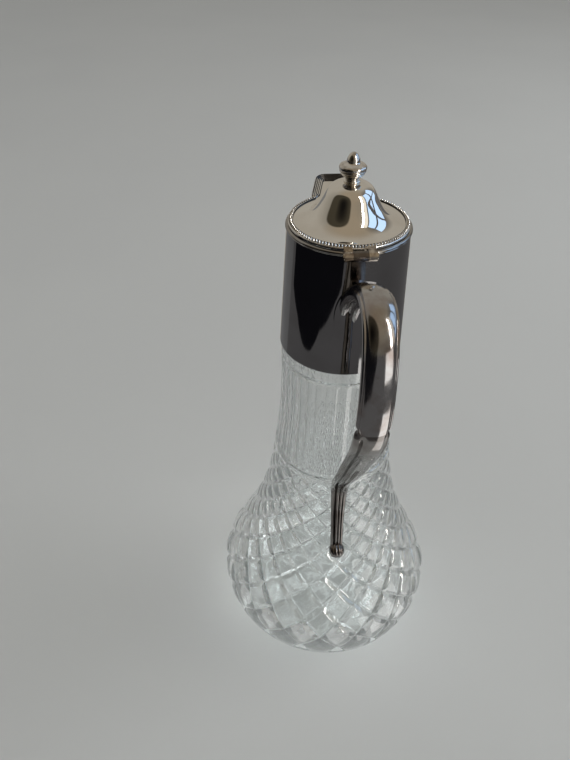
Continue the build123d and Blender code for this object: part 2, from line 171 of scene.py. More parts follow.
def smooth_curve(points, start=None, end=None):
    """A function from 0..1 to points on a smooth curve through the given points, by length."""
    points = np.array(points, float)
    steps = np.linalg.norm(np.diff(points, axis=0), axis=1)
    knots = np.concatenate([[0.0], np.cumsum(steps)])
    count = len(points)
    matrix = np.eye(count)
    slopes = np.zeros(points.shape)
    slopes[0] = end_slope(knots, points) if start is None else start
    slopes[-1] = -end_slope(knots[-1] - knots[::-1], points[::-1]) if end is None else end
    for i in range(1, count - 1):
        before, after = steps[i - 1], steps[i]
        matrix[i, i - 1 : i + 2] = (after, 2 * (before + after), before)
        risen = after * (points[i] - points[i - 1]) / before
        to_rise = before * (points[i + 1] - points[i]) / after
        slopes[i] = 3 * (risen + to_rise)
    slopes = np.linalg.solve(matrix, slopes)

    def at(share):
        along = np.clip(np.asarray(share, float), 0, 1) * knots[-1]
        i = np.clip(np.searchsorted(knots, along, side="right") - 1, 0, count - 2)
        step = steps[i]
        t = (along - knots[i]) / step
        t, step = t[..., None], step[..., None]
        leave = (2 * t**3 - 3 * t**2 + 1) * points[i] + (t**3 - 2 * t**2 + t) * step * slopes[i]
        return leave + (3 * t**2 - 2 * t**3) * points[i + 1] + (t**3 - t**2) * step * slopes[i + 1]

    return at


def evenly(points, count, closed=False):
    """Points spaced evenly along a polyline."""
    points = np.array(points, float)
    if closed:
        points = np.vstack([points, points[:1]])
    along = np.concatenate([[0.0], np.cumsum(np.linalg.norm(np.diff(points, axis=0), axis=1))])
    wanted = np.linspace(0, along[-1], count, endpoint=not closed)
    return np.stack([np.interp(wanted, along, axis) for axis in points.T], axis=1)


def unit(vectors):
    return vectors / np.linalg.norm(vectors, axis=1)[:, None]


def even_turn(count):
    return np.linspace(0, FULL_TURN, count, endpoint=False)


def around(turn, radius, z):
    """Points at angles about the jug's axis."""
    return np.stack([radius * np.cos(turn), radius * np.sin(turn), z + 0 * turn], axis=-1)


def ease(low, high, value):
    """0 below low, 1 above high, and smooth between."""
    t = np.clip((value - low) / (high - low), 0, 1)
    return t * t * (3 - 2 * t)


def heel_arc(base_radius, base_z, bulb_radius, count):
    """The arc from a foot circle to the bulb's widest circle, upright where it ends."""
    width = bulb_radius - base_radius
    height = BULB_Z - base_z
    radius = (width**2 + height**2) / (2 * width)
    turn = np.linspace(math.asin(height / radius), 0, count)
    return np.stack([bulb_radius - radius * (1 - np.cos(turn)), BULB_Z - radius * np.sin(turn)], axis=1)


def shoulder(bulb_radius, neck_radius, count):
    rise = NECK_Z - BULB_Z
    narrowing = bulb_radius - neck_radius
    middle = [(neck_radius + left * narrowing, BULB_Z + up * rise) for up, left in SHOULDER_CURVE]
    points = [(bulb_radius, BULB_Z)] + middle + [(neck_radius, NECK_Z)]
    return smooth_curve(points, (0, 1), (0, 1))(np.linspace(0, 1, count))


# Meshes

def new_object(name, data):
    made = bpy.data.objects.new(name, data)
    bpy.context.scene.collection.objects.link(made)
    return made


def new_mesh(name, points, faces, sharp=32.0):
    """A mesh object from rows of points in millimetres, smooth but for edges above an angle."""
    mesh = bpy.data.meshes.new(name)
    mesh.from_pydata((np.reshape(points, (-1, 3)) * MM).tolist(), [], faces)
    work = bmesh.new()
    work.from_mesh(mesh)
    bmesh.ops.remove_doubles(work, verts=work.verts, dist=1e-7)
    bmesh.ops.recalc_face_normals(work, faces=work.faces)
    work.to_mesh(mesh)
    work.free()
    mesh.shade_smooth()
    mesh.set_sharp_from_angle(angle=math.radians(sharp))
    return new_object(name, mesh)


def piece(name, points, faces, body, slot, material, replaced, sharp=32.0):
    made = new_mesh(name, points, faces, sharp)
    made.data.materials.append(material)
    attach(made, body)
    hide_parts(*replaced)
    return made


def grid_faces(rows, columns, wrap_rows=False, wrap_columns=False, base=0):
    """Quads over a grid of points that is stored row by row."""
    faces = []
    for row in range(rows if wrap_rows else rows - 1):
        here = base + row * columns
        above = base + (row + 1) % rows * columns
        for column in range(columns if wrap_columns else columns - 1):
            beside = (column + 1) % columns
            faces.append((here + column, here + beside, above + beside, above + column))
    return faces


def turned(outline):
    """Points and faces of an outline of (radius, height) turned about the jug's axis."""
    columns = 72
    outline = np.array(outline, float)
    points = around(even_turn(columns), outline[:, :1], outline[:, 1:])
    closed = outline[0, 0] > 0 or outline[-1, 0] > 0
    return points, grid_faces(len(outline), columns, closed, True)


# Materials

def add_node(tree, kind, settings=(), **inputs):
    """A shader node with its settings, and its inputs by name or, as in _0, by number."""
    made = tree.nodes.new("ShaderNode" + kind)
    for name, value in dict(settings).items():
        setattr(made, name, value)
    for name, value in inputs.items():
        socket = made.inputs[int(name[1:])] if name[1:].isdigit() else made.inputs[name.replace("_", " ")]
        if isinstance(value, bpy.types.NodeSocket):
            tree.links.new(value, socket)
        else:
            socket.default_value = value
    return made


def new_material(name):
    material = bpy.data.materials.new(name)
    material.use_nodes = True
    tree = material.node_tree
    tree.nodes.clear()
    return material, tree


def noise(tree, scale, detail, stretch=None):
    """Noise in the object's own coordinates, with features about 1/scale metres across."""
    place = add_node(tree, "TexCoord").outputs["Object"]
    if stretch:
        place = add_node(tree, "Mapping", Vector=place, Scale=stretch).outputs["Vector"]
    return add_node(tree, "TexNoise", Vector=place, Scale=scale, Detail=detail).outputs["Fac"]


def remap(tree, value, low, high, new_low, new_high):
    limits = {"From_Min": low, "From_Max": high, "To_Min": new_low, "To_Max": new_high}
    return add_node(tree, "MapRange", Value=value, **limits).outputs["Result"]


def calculate(tree, operation, first, second):
    return add_node(tree, "Math", {"operation": operation}, _0=first, _1=second).outputs[0]


def bumped(tree, height, strength, distance):
    made = add_node(tree, "Bump", Height=height, Strength=strength, Distance=distance)
    return made.outputs["Normal"]


def mix_shaders(tree, share, first, second):
    return add_node(tree, "MixShader", _0=share, _1=first, _2=second).outputs[0]


def mix_colours(tree, share, first, second):
    made = add_node(tree, "Mix", {"data_type": "RGBA"}, _0=share, _6=first, _7=second)
    return made.outputs[2]


def principled(tree, **inputs):
    return add_node(tree, "BsdfPrincipled", **inputs).outputs[0]


def finish_material(tree, shader):
    add_node(tree, "OutputMaterial", Surface=shader)


STAIN_NOISE = (0.40, 0.72)
CREVICE_POINTINESS = (0.47, 0.40)
CREVICE_STAIN = 0.8
WORN_NOISE = (0.35, 0.75)
SCRATCH = 0.02
SCRATCH_STRETCH = (1.0, 1.0, 0.06)


def silver(name, colour, stain, stained, smooth, dull, patch):
    """Silver plate: tarnish in soft patches and crevices, with fine wiping scratches."""
    material, tree = new_material(name)
    patches = remap(tree, noise(tree, patch, 5.0), *STAIN_NOISE, 0.0, stained)
    corners = add_node(tree, "NewGeometry").outputs["Pointiness"]
    crevice = remap(tree, corners, *CREVICE_POINTINESS, 0.0, CREVICE_STAIN)
    shade = mix_colours(tree, calculate(tree, "MAXIMUM", patches, crevice), colour, stain)
    rough = remap(tree, noise(tree, 220.0, 4.0), *WORN_NOISE, smooth, dull)
    scratched = bumped(tree, noise(tree, 900.0, 2.0, SCRATCH_STRETCH), SCRATCH, 0.0002)
    shader = principled(tree, Metallic=1.0, Base_Color=shade, Roughness=rough, Normal=scratched)
    finish_material(tree, shader)
    return material


# How many surfaces, and how many reflections, light passes inside the glass before a painted pale glow takes
# its place
MOST_CROSSINGS = 7.5
MOST_ECHOES = 2.5


def clear_glass(name):
    """Clear pressed glass with faint waves, which lets lamps through to the floor, and shows a painted pale
    glow where rays go deep inside it.
    """
    material, tree = new_material(name)
    waves = noise(tree, 130.0, 2.0)
    rippled = bumped(tree, waves, 0.3, 0.0006)
    tint = mix_colours(tree, waves, (0.955, 0.972, 0.968, 1.0), (0.985, 0.992, 0.99, 1.0))
    coat = {"Coat_Weight": 0.6, "Coat_IOR": 1.8, "Coat_Roughness": 0.02}
    body = {"Base_Color": tint, "Roughness": 0.015, "IOR": 1.52, "Transmission_Weight": 1.0}
    glass = principled(tree, Normal=rippled, **body, **coat)
    clear = add_node(tree, "BsdfTransparent", Color=(0.96, 0.97, 0.965, 1.0))
    path = add_node(tree, "LightPath")
    mixed = mix_shaders(tree, path.outputs["Is Shadow Ray"], glass, clear.outputs[0])
    # Rays that go deep inside the glass end on a painted pale glow instead of being lost
    painted_glow = add_node(tree, "Emission", Color=(0.235, 0.25, 0.245, 1.0), Strength=1.0)
    deep = calculate(tree, "GREATER_THAN", path.outputs["Ray Depth"], MOST_CROSSINGS)
    echoed = calculate(tree, "GREATER_THAN", path.outputs["Glossy Depth"], MOST_ECHOES)
    lost = calculate(tree, "MAXIMUM", deep, echoed)
    finish_material(tree, mix_shaders(tree, lost, mixed, painted_glow.outputs[0]))
    return material


def plaster(name):
    material, tree = new_material(name)
    grain = noise(tree, 900.0, 6.0)
    share = remap(tree, grain, 0.35, 0.7, 0.0, 1.0)
    shade = mix_colours(tree, share, (0.78, 0.75, 0.69, 1), (0.88, 0.86, 0.81, 1))
    grainy = bumped(tree, grain, 0.5, 0.0003)
    rough = remap(tree, grain, 0.3, 0.7, 0.75, 0.95)
    finish_material(tree, principled(tree, Base_Color=shade, Roughness=rough, Normal=grainy))
    return material


# Glass body

def outer_meridian():
    """Dense (radius, height) points of the glass's outline, foot to collar."""
    heel = heel_arc(FOOT_RADIUS, 0.0, BULB_RADIUS, 200)
    rise = shoulder(BULB_RADIUS, NECK_RADIUS, 900)[1:]
    neck = [(NECK_RADIUS, NECK_Z + 0.5), (NECK_RADIUS, COLLAR_FOOT_Z)]
    return np.vstack([heel, rise, neck])


def diamond_relief(u, v, radius):
    """Depth of the cuts between diamonds at u round and v up, both in cells."""
    across = np.abs((u + v + 0.5) % 1.0 - 0.5) * 2
    other = np.abs((u - v + 0.5) % 1.0 - 0.5) * 2
    nearest = np.maximum(across, other)
    cut = np.clip((nearest - DIAMOND_CUT_START) / (1 - DIAMOND_CUT_START), 0, 1)
    swell = 1 - (1 - across**2) * (1 - other**2)
    return radius * (DIAMOND_CUT * cut + DIAMOND_SWELL * swell)


def flute_relief(turn, z):
    """Depth of the flutes, which end in round arches."""
    across = ((turn / FULL_TURN * FLUTES_ROUND) % 1.0) * 2 - 1
    arch = math.pi * NECK_RADIUS / FLUTES_ROUND * (1 - np.sqrt(1 - across**2))
    low = ease(0, FLUTE_END, z - FLUTE_LOW_Z - arch)
    high = ease(0, FLUTE_END, FLUTE_HIGH_Z - arch - z)
    return FLUTE_DEPTH * (1 - across**2) * low * high


def diamond_heights(radius, height):
    """v, in cells, along the outline, and the rows' v from the top of the diamonds down."""
    step = np.hypot(np.diff(radius), np.diff(height))
    v = np.concatenate([[0.0], np.cumsum(step / (DIAMOND_RISE * (radius[1:] + radius[:-1]) / 2))])
    v -= np.interp(DIAMOND_TOP_CENTRE_Z, height, v)
    lowest = int(np.interp(DIAMOND_LOW_Z, height, v) * DIAMOND_ROWS_PER_CELL)
    rows = np.arange(DIAMOND_ROWS_ABOVE, lowest - 1, -1) / DIAMOND_ROWS_PER_CELL
    return v, rows


def make_glass(material):
    turn = math.radians(DIAMOND_ANGLE) + np.arange(GLASS_COLUMNS) * FULL_TURN / GLASS_COLUMNS
    u = np.arange(GLASS_COLUMNS) * DIAMONDS_ROUND / GLASS_COLUMNS
    line = outer_meridian()
    radius, height = line[:, 0], line[:, 1]
    v, diamond_rows = diamond_heights(radius, height)
    rings = []

    def ring(r, z, depth=0.0, lean=0.0):
        """A row of points; lean is how far the surface faces up or down."""
        reach = r - depth * math.sqrt(1 - lean**2)
        rings.append(around(turn, reach, z - depth * lean))

    def radius_at(z):
        return float(np.interp(z, height, radius))

    def lean_at(z):
        """The vertical part of the outline's outward normal."""
        along = np.interp([z - 0.5, z + 0.5], height, radius)
        return float((along[0] - along[1]) / math.hypot(1.0, along[0] - along[1]))

    # Neck, mouth and inside, from the bottom of the hollow up and over, then down the outside
    inner_bulb = BULB_RADIUS - BULB_WALL
    inner_neck = NECK_RADIUS - NECK_WALL
    floor = inner_bulb - FLOOR_CORNER
    for r in (*FLOOR_RINGS, floor):
        ring(r, FLOOR_THICKNESS + FLOOR_DOME * (1 - (r / floor) ** 2))
    for r, z in heel_arc(floor, FLOOR_THICKNESS, inner_bulb, 10)[1:]:
        ring(r, z)
    for r, z in shoulder(inner_bulb, inner_neck, 24)[1:]:
        ring(r + sum(depth * np.sin(waves * turn + z / pitch) for depth, waves, pitch in INSIDE_WAVES), z)
    plastered_foot = COLLAR_FOOT_RADIUS - COLLAR_WALL - CEMENT_GAP - PLASTER_GAP
    narrowing = COLLAR_FOOT_RADIUS - COLLAR_TOP_RADIUS
    taper = narrowing * (MOUTH_Z - COLLAR_FOOT_Z) / (COLLAR_TOP_Z - COLLAR_FOOT_Z)
    plastered_mouth = plastered_foot - taper
    ledge_z = COLLAR_FOOT_Z - LEDGE_GAP
    ring(inner_neck, COLLAR_FOOT_Z)
    ring(plastered_mouth - MOUTH_WALL, MOUTH_Z - MOUTH_ROUND)
    ring(plastered_mouth - MOUTH_WALL + MOUTH_ROUND, MOUTH_Z - MOUTH_GAP)
    ring(plastered_mouth - MOUTH_ROUND, MOUTH_Z - MOUTH_GAP)
    ring(plastered_mouth, MOUTH_Z - MOUTH_ROUND)
    ring(plastered_foot, ledge_z)
    ring(NECK_RADIUS - MOUTH_ROUND, ledge_z)
    ring(NECK_RADIUS, ledge_z - MOUTH_ROUND)
    ring(NECK_RADIUS, RING_SHOULDERS[0])
    for z, depth in zip(UPPER_RING, (0.0, RING_DEPTH, 0.0)):
        ring(NECK_RADIUS - depth, z)
    ends = np.array(FLUTE_END_STEPS)
    middle = np.arange(FLUTE_HIGH_Z - FLUTE_MIDDLE[0], FLUTE_LOW_Z + FLUTE_MIDDLE[1], -FLUTE_STEP)
    for z in np.concatenate([FLUTE_HIGH_Z - ends, middle, (FLUTE_LOW_Z + ends)[::-1]]):
        ring(radius_at(z) - flute_relief(turn, z), z)
    lead_z = float(np.interp(diamond_rows[0], v, height)) + LEAD_RISE
    lower = [*zip(LOWER_RING, (0.0, RING_DEPTH, 0.0)), (RING_SHOULDERS[1], 0.0), (lead_z, LEAD_DEPTH)]
    for z, depth in lower:
        ring(radius_at(z), z, depth, lean_at(z))
    first_diamond = len(rings)
    for row in diamond_rows:
        z = float(np.interp(row, v, height))
        r = radius_at(z)
        fade = ease(DIAMOND_LOW_Z, DIAMOND_LOW_Z + DIAMOND_FADE, z)
        ring(r, z, diamond_relief(u, row, r) * fade, lean_at(z))
    last_diamond = len(rings) - 1
    low = rings[-1][0, 2]
    for z in np.linspace(low, HEEL_Z, 8)[1:]:
        ring(radius_at(z), z)
    for r, z in FOOT_OUTLINE:
        ring(r, z)

    columns = GLASS_COLUMNS
    faces = grid_faces(first_diamond + 1, columns, wrap_columns=True)
    for row in range(first_diamond, last_diamond):
        v_middle = (diamond_rows[row - first_diamond] + diamond_rows[row - first_diamond + 1]) / 2
        for column in range(columns):
            u_middle = (column + 0.5) * DIAMONDS_ROUND / columns
            a = row * columns + column
            b = row * columns + (column + 1) % columns
            c, d = b + columns, a + columns
            across = abs((u_middle + v_middle + 0.5) % 1.0 - 0.5)
            other = abs((u_middle - v_middle + 0.5) % 1.0 - 0.5)
            # Rows run downwards, so a cut where u + v is level joins a to c
            faces += [(a, b, c), (a, c, d)] if across > other else [(a, b, d), (b, c, d)]
    faces += grid_faces(len(rings) - last_diamond, columns, wrap_columns=True, base=last_diamond * columns)
    piece("glass", rings, faces, "jug", "cut_glass", material, ["glass_body"], 28.0)


# Collar and rim

def collar_radius(z):
    share = (z - COLLAR_FOOT_Z) / (COLLAR_TOP_Z - COLLAR_FOOT_Z)
    return COLLAR_FOOT_RADIUS + (COLLAR_TOP_RADIUS - COLLAR_FOOT_RADIUS) * share


def tab(root_half, tip_x, tip_half, corner, count):
    """The plan of a tapered tab with two rounded corners, from its +Y root round its tip."""
    slope = math.atan2(root_half - tip_half, tip_x - LIP_START_X)
    turns = math.pi / 2 - slope
    inset = corner * math.tan(turns / 2)
    points = [(LIP_START_X, root_half)]
    centre = np.array([tip_x - corner, tip_half - inset])
    for side in (1, -1):
        angles = np.linspace(math.pi / 2 - slope, 0, 12)
        arc = [(centre[0] + corner * math.cos(a), centre[1] + corner * math.sin(a)) for a in angles]
        points += arc if side > 0 else [(x, -y) for x, y in arc[::-1]]
    points.append((LIP_START_X, -root_half))
    return evenly(points, count)


def spout_plan(level, inset):
    """The spout's outline in plan at a level from its foot, 0, to its lip, 1, drawn in by an inset."""
    foot_z = RIM_TOP_Z - SPOUT_DROP
    foot_tip = collar_radius(foot_z) + SPOUT_FOOT_STAND
    top_tip = COLLAR_TOP_RADIUS + SPOUT_REACH
    swell = level + SPOUT_SWELL * math.sin(math.pi * level)
    reach = foot_tip + (top_tip - foot_tip) * level**SPOUT_CURL
    root = SPOUT_FOOT_HALF + (SPOUT_ROOT_HALF - SPOUT_FOOT_HALF) * swell
    foot_tip_half = FOOT_TIP_SHARE * SPOUT_FOOT_HALF
    tip = foot_tip_half + (SPOUT_TIP_HALF - foot_tip_half) * level
    foot_corner = FOOT_CORNER_SHARE * SPOUT_FOOT_HALF
    corner = foot_corner + (SPOUT_CORNER - foot_corner) * level
    corner = min(corner, tip - LEAST_CORNER)
    return tab(root - inset, reach - inset, tip - inset, max(corner - inset, LEAST_CORNER), 400)


def spout_point_z(level, x):
    """A level's height at x: flat at the spout's foot, and rising outwards at its lip."""
    lip_z = RIM_TOP_Z + LIP_RISE * (x - LIP_START_X)
    foot_z = RIM_TOP_Z - SPOUT_DROP
    return foot_z + (lip_z - foot_z) * level


def make_spout(material):
    rows, columns = 34, 41
    sheets = []
    for inset in (0.0, SPOUT_WALL):
        sheet = []
        for level in np.linspace(0.0, 1.0, rows):
            plan = spout_plan(level, inset)
            z = spout_point_z(level, plan[:, 0])
            sunk = COLLAR_WALL * 0.5 if inset == 0 else COLLAR_WALL
            outside = np.hypot(plan[:, 0], plan[:, 1]) >= collar_radius(np.minimum(z, COLLAR_TOP_Z)) - sunk
            kept = plan[outside] if outside.sum() > 3 else plan[len(plan) // 2 - 2 : len(plan) // 2 + 2]
            even = evenly(kept, columns)
            sheet.append(np.column_stack([even, spout_point_z(level, even[:, 0])]))
        sheets.append(sheet)
    half = rows * columns
    faces = grid_faces(rows, columns) + grid_faces(rows, columns, base=half)
    # The four edges between the outer and the inner sheet
    ends = (range(half - columns, half), range(columns))
    for edge in (*ends, range(0, half, columns), range(columns - 1, half, columns)):
        faces += [(a, b, b + half, a + half) for a, b in zip(edge, edge[1:])]
    piece("spout_lip", sheets, faces, "jug", "silver_plate", material, ["spout"])


NOTCH_START = 0.02  # the spout's level that the notch starts above


def notch_angle(z):
    """Half the angle that the collar is open by at a height, for the spout's mouth."""
    foot_z = RIM_TOP_Z - SPOUT_DROP
    level = (z - foot_z) / (RIM_TOP_Z - foot_z)
    if level <= NOTCH_START:
        return 0.0
    plan = spout_plan(min(level, 1.0), SPOUT_WALL / 2)
    side = plan[: len(plan) // 2]
    wall_middle = collar_radius(min(z, COLLAR_TOP_Z)) - COLLAR_WALL / 2
    crossing = np.argmax(np.hypot(side[:, 0], side[:, 1]) >= wall_middle)
    return math.atan2(side[crossing, 1], side[crossing, 0])


COLLAR_EDGE_HEIGHT = 0.25
COLLAR_EDGE_INSET = 0.2
COLLAR_FINE_Z = 228.0  # the rings lie closer above this height, beside the notch


def make_collar(material):
    columns = 193
    heights = [COLLAR_FOOT_Z, COLLAR_FOOT_Z + COLLAR_EDGE_HEIGHT]
    heights += [*np.arange(COLLAR_FOOT_Z + 2.0, COLLAR_FINE_Z, 2.0)]
    heights += [*np.arange(COLLAR_FINE_Z, COLLAR_TOP_Z, 0.8), COLLAR_TOP_Z]
    rings = []
    for inset in (0.0, COLLAR_WALL):
        for z in heights if inset == 0 else heights[::-1]:
            open_half = notch_angle(z)
            turn = np.linspace(open_half, FULL_TURN - open_half, columns)
            r = collar_radius(z) - inset
            if z == COLLAR_FOOT_Z and inset == 0:
                r -= COLLAR_EDGE_INSET
            rings.append(around(turn, r, z))
    rows = len(rings)
    faces = grid_faces(rows, columns, wrap_rows=True)
    # The two edges of the notch
    for column in (0, columns - 1):
        for row in range(len(heights) - 1):
            if notch_angle(heights[row + 1]) > 0:
                corners = (row, row + 1, rows - 2 - row, rows - 1 - row)
                faces.append(tuple(i * columns + column for i in corners))
    piece("collar_shell", rings, faces, "jug", "silver_plate", material, ["collar"])


# The moulding's outline: radius, and height above the collar's top
RIM_OUTLINE = [
    (24.4, 0.02), (25.2, 0.02), (25.5, 0.1), (25.56, 0.25), (25.45, 0.4), (25.62, 0.52),
    (25.84, 0.72), (25.9, 0.95), (25.86, 1.2), (25.7, 1.5), (25.4, 1.72), (25.0, 1.8), (24.4, 1.8),
]


# The moulding's opening for the spout: the height it is measured at, and its gap in radians
RIM_NOTCH_RISE = 1.0
RIM_NOTCH_GAP = 0.01


def make_rim(material):
    columns = 240
    open_half = notch_angle(COLLAR_TOP_Z + RIM_NOTCH_RISE) + RIM_NOTCH_GAP
    turn = np.linspace(open_half, FULL_TURN - open_half, columns)
    outline = np.array(RIM_OUTLINE) + (0.0, COLLAR_TOP_Z)
    rings = [around(turn, r, z) for r, z in outline]
    rows = len(outline)
    faces = grid_faces(rows, columns, wrap_rows=True)
    for column in (0, columns - 1):
        faces.append(tuple(row * columns + column for row in range(rows)))
    piece("rim_moulding", rings, faces, "jug", "silver_plate", material, ["collar_top_rim"], 45.0)


# Lid

def tongue_plan(inset):
    grown = TONGUE_OVERHANG - inset
    reach = COLLAR_TOP_RADIUS + SPOUT_REACH + grown
    return tab(SPOUT_ROOT_HALF + grown, reach, SPOUT_TIP_HALF + grown, SPOUT_CORNER + grown, 300)


def lid_plan(inset, count):
    """The lid's outline in plan, drawn in by an inset: the tongue, then round the back."""
    radius = LID_RADIUS - inset
    tongue = tongue_plan(inset)
    tongue = tongue[np.hypot(tongue[:, 0], tongue[:, 1]) >= radius]
    root = math.atan2(tongue[0, 1], tongue[0, 0])
    turn = np.linspace(FULL_TURN - root, root, 300)[1:-1]
    back = around(turn, radius, 0)[:, :2]
    return evenly(np.vstack([tongue, back]), count, closed=True)


# The dome's outline from its edge up: radius, and height above the flange
DOME_OUTSIDE = [
    (22.5, 0.0), (19.8, 0.45), (17.3, 1.47), (15.2, 3.04), (13.4, 5.27), (11.9, 7.8), (10.8, 9.92),
    (9.8, 11.95), (8.5, 13.77), (6.7, 15.04), (4.9, 15.7), (3.3, 15.95),
]


def dome_height(r):
    curve = smooth_curve(DOME_OUTSIDE, (-1, 0.05), (-1, 0))(np.linspace(0, 1, 500))
    return FLANGE_Z + np.interp(r, curve[::-1, 0], curve[::-1, 1])


LIP_SOFTNESS = 2.0


def top_height(x, y):
    """The lid's upper surface: the dome and flange, which turn up softly into the tongue."""
    rise = LIP_SOFTNESS * np.log1p(np.exp((x - LIP_START_X) / LIP_SOFTNESS))
    return dome_height(np.hypot(x, y)) + LIP_RISE * rise


LID_ROUND = 0.15
CROWN_EDGE = 8.0
SKIRT_EDGE = 8.6
DOME_EDGE = 21.8  # the last ring round the axis: beyond it, rings follow the lid's outline


def make_lid(material):
    count = 230
    radii = np.concatenate([np.linspace(STUD_HOLE, CROWN_EDGE, 9), np.linspace(SKIRT_EDGE, DOME_EDGE, 34)])
    rim_plan = lid_plan(0.0, count)
    away = unit(rim_plan)
    rings = []

    def ring(plan, depth):
        """A ring of points at a depth under the upper surface."""
        z = top_height(plan[:, 0], plan[:, 1]) - depth
        rings.append(np.column_stack([plan, z]))

    for r in radii:
        ring(away * r, 0.0)
    inside = away * DOME_EDGE
    for share in np.linspace(0, 1, 15)[1:-1]:
        ring(inside + (rim_plan - inside) * share, 0.0)
    edge = rim_plan - away * LID_ROUND
    ring(edge, 0.0)
    ring(rim_plan, LID_ROUND)
    ring(rim_plan, LID_WALL - LID_ROUND)
    ring(edge, LID_WALL)
    for share in (0.5, 0.0):
        ring(inside + (rim_plan - inside) * share, LID_WALL)
    for r in radii[::-2]:
        ring(away * r, LID_WALL)
    rings.append(np.column_stack([away * STUD_HOLE, np.full(count, DOME_TOP_Z - LID_WALL)]))
    faces = grid_faces(len(rings), count, wrap_rows=True, wrap_columns=True)
    piece("lid_dome", rings, faces, "lid", "silver_plate", material, ["lid"], 40.0)


def frames_along(path):
    """Directions ahead, outwards and up along a closed path on the lid."""
    ahead = unit(np.roll(path, -1, axis=0) - np.roll(path, 1, axis=0))
    side = unit(np.cross(ahead, (0, 0, 1.0)))
    side *= np.sign((side * path).sum())
    up = np.cross(side, ahead)
    return ahead, side, up * np.sign(up[:, 2])[:, None]


def border_path(count):
    """Points along the middle of the lid's border, and how far each stands out past the round part."""
    plan = lid_plan(BEAD_WIDTH / 2, count)
    path = np.column_stack([plan, top_height(plan[:, 0], plan[:, 1])])
    return path, np.hypot(plan[:, 0], plan[:, 1]) - (LID_RADIUS - BEAD_WIDTH / 2)


BEADS = 132
BEAD_HALF = (0.42, 0.62, 0.72)  # half sizes along the border, across it and up
BEAD_LIFT = 0.42
BEAD_OUT = 0.12
# Across the border, from inside to outside: a low ridge and a bed under the beads, and the reeded
# moulding that takes over on the tongue
BED = [
    (-1.05, -0.1), (-1.04, 0.1), (-1.03, 0.3), (-1.0, 0.5), (-0.85, 0.85), (-0.65, 0.8),
    (-0.5, 0.1), (-0.2, 0.1), (0.1, 0.1), (0.5, 0.1), (0.8, 0.2), (1.0, 0.1), (1.05, -0.1),
]
REED = [
    (-2.4, -0.6), (-2.4, 0.35), (-2.1, 0.75), (-1.7, 0.5), (-1.4, 1.05), (-1.0, 0.7), (-0.7, 1.3),
    (-0.3, 0.85), (0.0, 1.6), (0.4, 1.1), (0.8, 1.7), (1.1, 1.4), (1.1, -0.1),
]
REED_START = 0.2
REED_GROWTH = 2.5
BEAD_END = 0.35
# Rows of the border's faces made near black, beside the beads and on the reeds: partly tarnish in the hollows
# and partly painted shade, which on the inner ridge also hides the window's reflection
DARK_BED = (0, 1, 2, 3, 5, 6, 7, 8, 9)
DARK_REED = (0, 1, 3, 5, 7, 9)


def make_beads(material, bed_material):
    path, reach = border_path(BEADS)
    ahead, side, up = frames_along(path)
    columns = 4 * BEADS
    bed_path, bed_reach = border_path(columns)
    grown = ease(REED_START, REED_GROWTH, bed_reach)
    _, bed_side, bed_up = frames_along(bed_path)
    strip = []
    for bed, reed in zip(np.array(BED), np.array(REED)):
        out, height = (bed + (reed - bed) * grown[:, None]).T
        strip.append(bed_path + bed_side * out[:, None] + bed_up * height[:, None])
    parts = [np.concatenate(strip)]
    faces = grid_faces(len(BED), columns, wrap_rows=True, wrap_columns=True)
    base = len(parts[0])
    steps, rounds = 7, 12
    polar = np.linspace(0, math.pi, steps)
    spin = even_turn(rounds)
    long_way = np.cos(polar)[:, None] + 0 * spin
    across = np.sin(polar)[:, None] * np.cos(spin)
    over = np.sin(polar)[:, None] * np.sin(spin)
    for i in np.flatnonzero(reach < BEAD_END):
        shape = (
            ahead[i] * (across * BEAD_HALF[0])[..., None]
            + side[i] * (long_way * BEAD_HALF[1] + BEAD_OUT)[..., None]
            + up[i] * (over * BEAD_HALF[2] + BEAD_LIFT)[..., None]
        )
        parts.append((path[i] + shape).reshape(-1, 3))
        faces += grid_faces(steps, rounds, wrap_columns=True, base=base)
        base += steps * rounds
    points = np.concatenate(parts)
    made = piece("bead_border", points, faces, "lid", "silver_plate", material, ["lid_bead_border"], 60.0)
    made.data.materials.append(bed_material)
    # Near-black rows: tarnish in the hollows mixed with painted shade
    for rows, where in ((DARK_BED, bed_reach < BEAD_END), (DARK_REED, bed_reach >= BEAD_END)):
        for row in rows:
            for column in np.flatnonzero(where):
                made.data.polygons[row * columns + int(column)].material_index = 1
    # The polished lid would mirror the beads far more sharply than worn plate does
    made.visible_glossy = False


# Finial: radius, and height above its foot

FINIAL_FOOT_Z = 280.2
FINIAL_GRIP = 4.0
STUD_RADIUS = 1.5
FINIAL_OUTLINE = [
    (2.75, 0.0), (2.85, 0.15), (3.25, 0.45), (3.75, 0.75), (4.0, 0.95), (3.86, 1.1), (4.25, 1.3),
    (4.7, 1.65), (4.78, 1.85), (4.62, 2.05), (4.95, 2.25), (5.2, 2.65), (5.26, 2.85), (5.12, 3.05),
    (5.3, 3.3), (5.4, 3.75), (5.4, 4.2), (5.28, 4.6), (5.05, 4.85), (4.85, 4.9), (4.75, 5.02),
    (4.5, 5.12), (3.9, 5.3), (3.1, 5.65), (2.75, 5.85), (2.62, 6.05), (2.6, 6.45), (2.48, 7.1),
    (2.18, 7.9), (1.75, 8.65), (1.25, 9.2), (0.75, 9.55), (0.35, 9.67), (0.0, 9.7),
]
# The ring under the finial: radius, and height above the dome's top
BASE_OUTLINE = [
    (1.55, 0.02), (2.6, 0.02), (3.15, 0.12), (3.38, 0.4), (3.36, 0.65), (3.1, 0.88), (2.75, 0.98),
    (2.75, 1.12), (2.98, 1.25), (3.0, 1.42), (2.75, 1.6), (1.55, 1.66),
]


def make_finial(material):
    grip_z = FINIAL_FOOT_Z + FINIAL_GRIP
    bore = [(0.0, grip_z), (STUD_RADIUS, grip_z), (STUD_RADIUS, FINIAL_FOOT_Z)]
    outside = [(r, FINIAL_FOOT_Z + up) for r, up in FINIAL_OUTLINE]
    piece("finial_urn", *turned(bore + outside), "lid", "silver_plate", material, ["finial"], 60.0)


